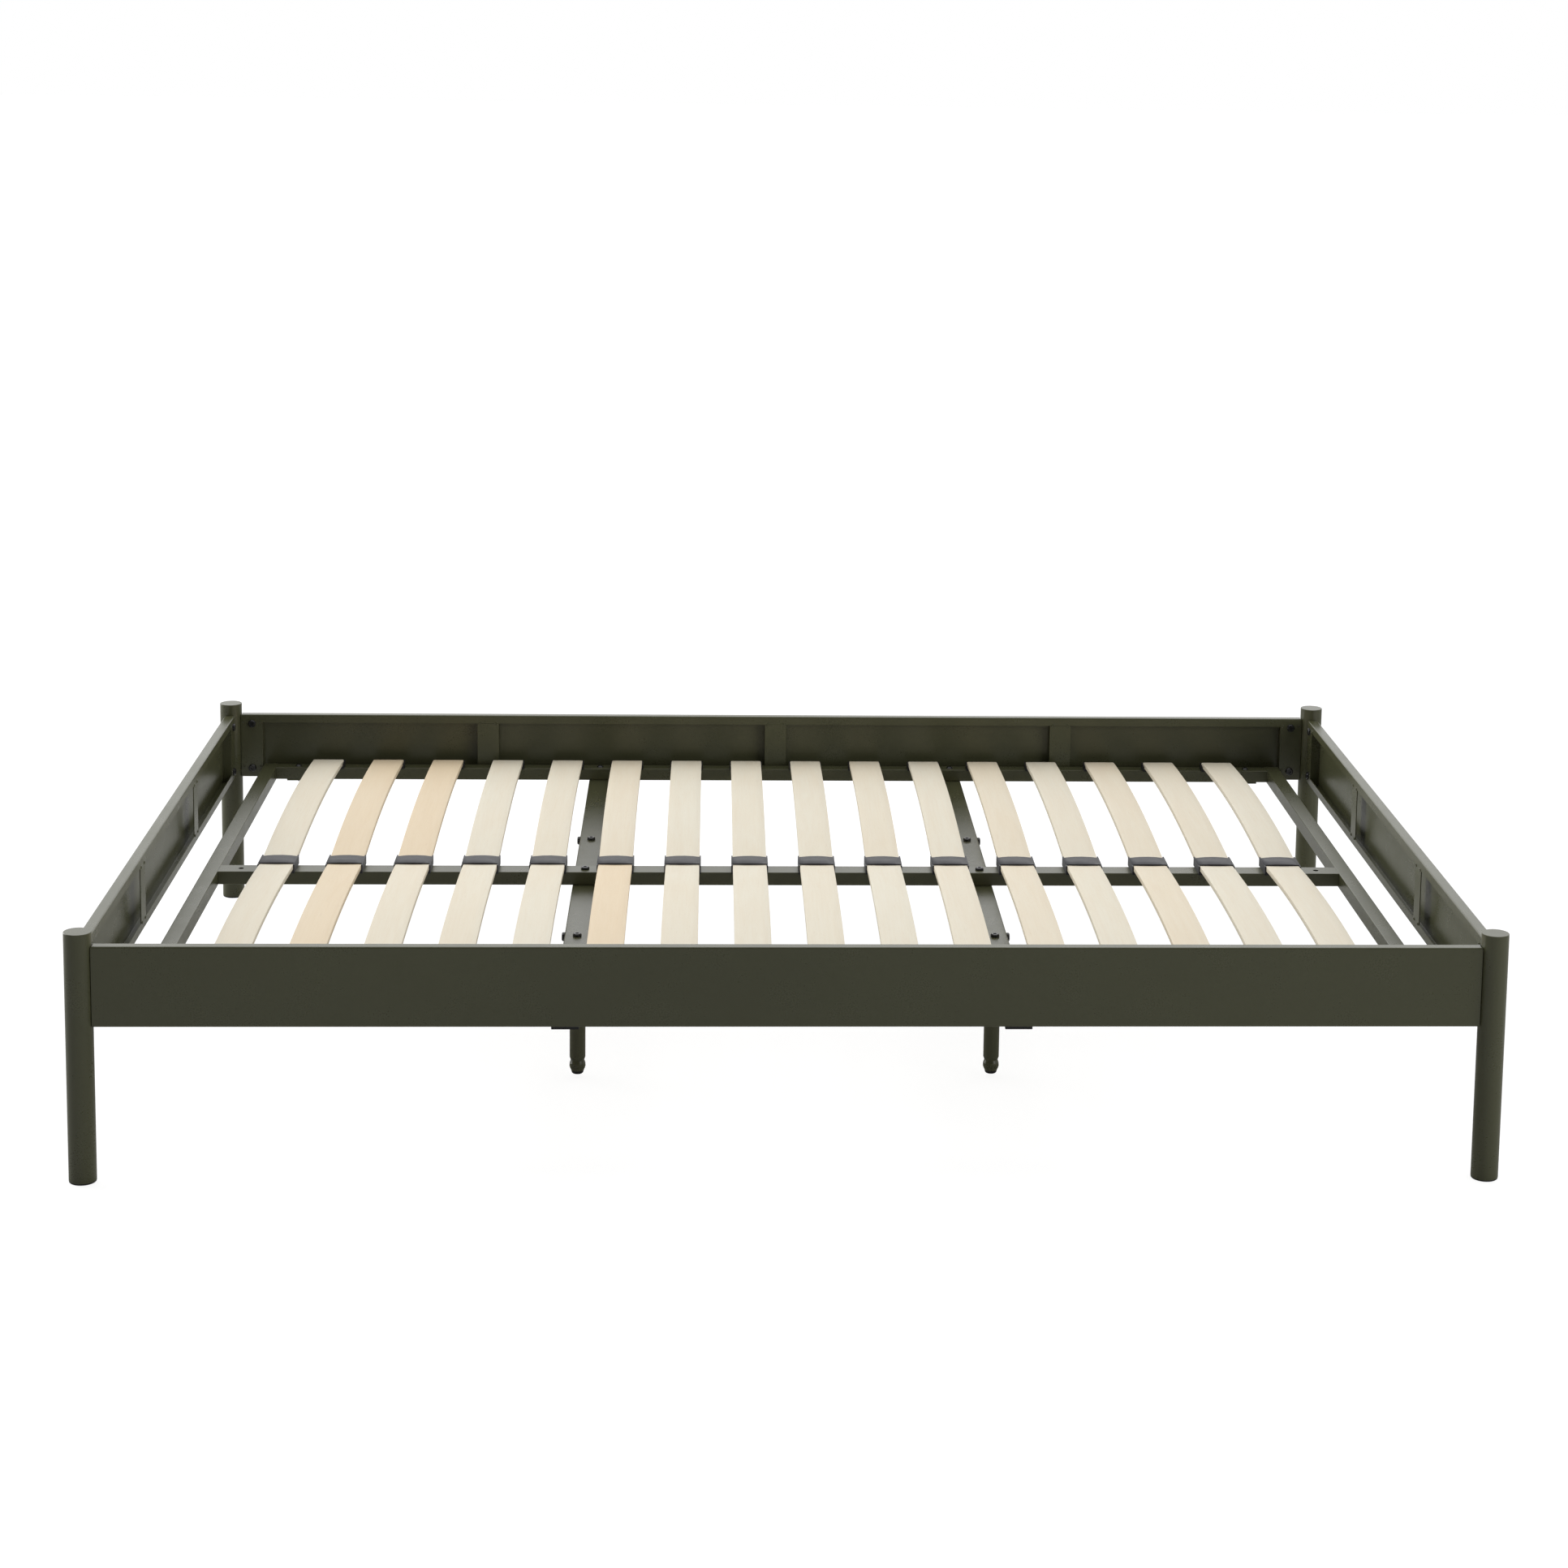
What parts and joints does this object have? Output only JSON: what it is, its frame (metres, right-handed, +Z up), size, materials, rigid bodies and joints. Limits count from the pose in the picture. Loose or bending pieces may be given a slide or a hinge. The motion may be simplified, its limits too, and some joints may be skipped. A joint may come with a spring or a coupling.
{
  "type": "metal bed frame",
  "caption": "Metal bed frame with round corner posts, folded sheet-steel rails, a tubular base on middle legs, and sprung wooden slats in plastic holders.",
  "frame": {"origin": "the centre of the bed's footprint, on the floor", "axes": "+X along the bed's length, towards the right end; +Y across the bed, towards the rear rail; +Z up"},
  "size_m": [2.08, 1.48, 0.372],
  "materials": {
    "frame_paint": "satin",
    "slats": "satin",
    "saddle_plastic": "matte",
    "holder_plastic": "matte",
    "black_plastic": "matte",
    "black_fasteners": "satin"
  },
  "bodies": {
    "bed": {"post_front_left": "frame_paint", "post_front_right": "frame_paint", "post_rear_left": "frame_paint", "post_rear_right": "frame_paint", "post_cap_front_left": "frame_paint", "post_cap_front_right": "frame_paint", "post_cap_rear_left": "frame_paint", "post_cap_rear_right": "frame_paint", "post_feet": "black_plastic", "rail_front": "frame_paint", "rail_rear": "frame_paint", "rail_left": "frame_paint", "rail_right": "frame_paint", "rail_end_plates": "frame_paint", "long_rail_stiffeners": "frame_paint", "short_rail_stiffeners": "frame_paint", "corner_brackets": "frame_paint", "base_tube_front": "frame_paint", "base_tube_rear": "frame_paint", "base_tube_left": "frame_paint", "base_tube_right": "frame_paint", "centre_beam": "frame_paint", "cross_member_left": "frame_paint", "cross_member_right": "frame_paint", "cross_member_plugs": "black_plastic", "leg_front_left": "frame_paint", "leg_front_right": "frame_paint", "leg_rear_left": "frame_paint", "leg_rear_right": "frame_paint", "leg_inserts": "black_plastic", "double_holders": "saddle_plastic", "end_holders_front": "holder_plastic", "end_holders_rear": "holder_plastic", "rail_bolts": "black_fasteners", "base_screws": "black_fasteners", "beam_bolts": "black_fasteners", "leg_top_bolts": "black_fasteners", "leg_side_bolts": "black_fasteners", "lock_nuts": "black_fasteners", "slats_01": "slats", "slats_02": "slats", "slats_03": "slats", "slats_04": "slats", "slats_05": "slats", "slats_06": "slats", "slats_07": "slats", "slats_08": "slats", "slats_09": "slats", "slats_10": "slats", "slats_11": "slats", "slats_12": "slats", "slats_13": "slats", "slats_14": "slats", "slats_15": "slats", "slats_16": "slats"},
    "foot_front_left": {"foot_front_left": "black_plastic"},
    "foot_front_right": {"foot_front_right": "black_plastic"},
    "foot_rear_left": {"foot_rear_left": "black_plastic"},
    "foot_rear_right": {"foot_rear_right": "black_plastic"}
  },
  "joints": [
    {"name": "foot_front_left_screw", "type": "slide", "parent": "bed", "child": "foot_front_left", "axis": [0, 0, -1], "range_m": [0, 0.006]},
    {"name": "foot_front_right_screw", "type": "slide", "parent": "bed", "child": "foot_front_right", "axis": [0, 0, -1], "range_m": [0, 0.006]},
    {"name": "foot_rear_left_screw", "type": "slide", "parent": "bed", "child": "foot_rear_left", "axis": [0, 0, -1], "range_m": [0, 0.006]},
    {"name": "foot_rear_right_screw", "type": "slide", "parent": "bed", "child": "foot_rear_right", "axis": [0, 0, -1], "range_m": [0, 0.006]}
  ]
}
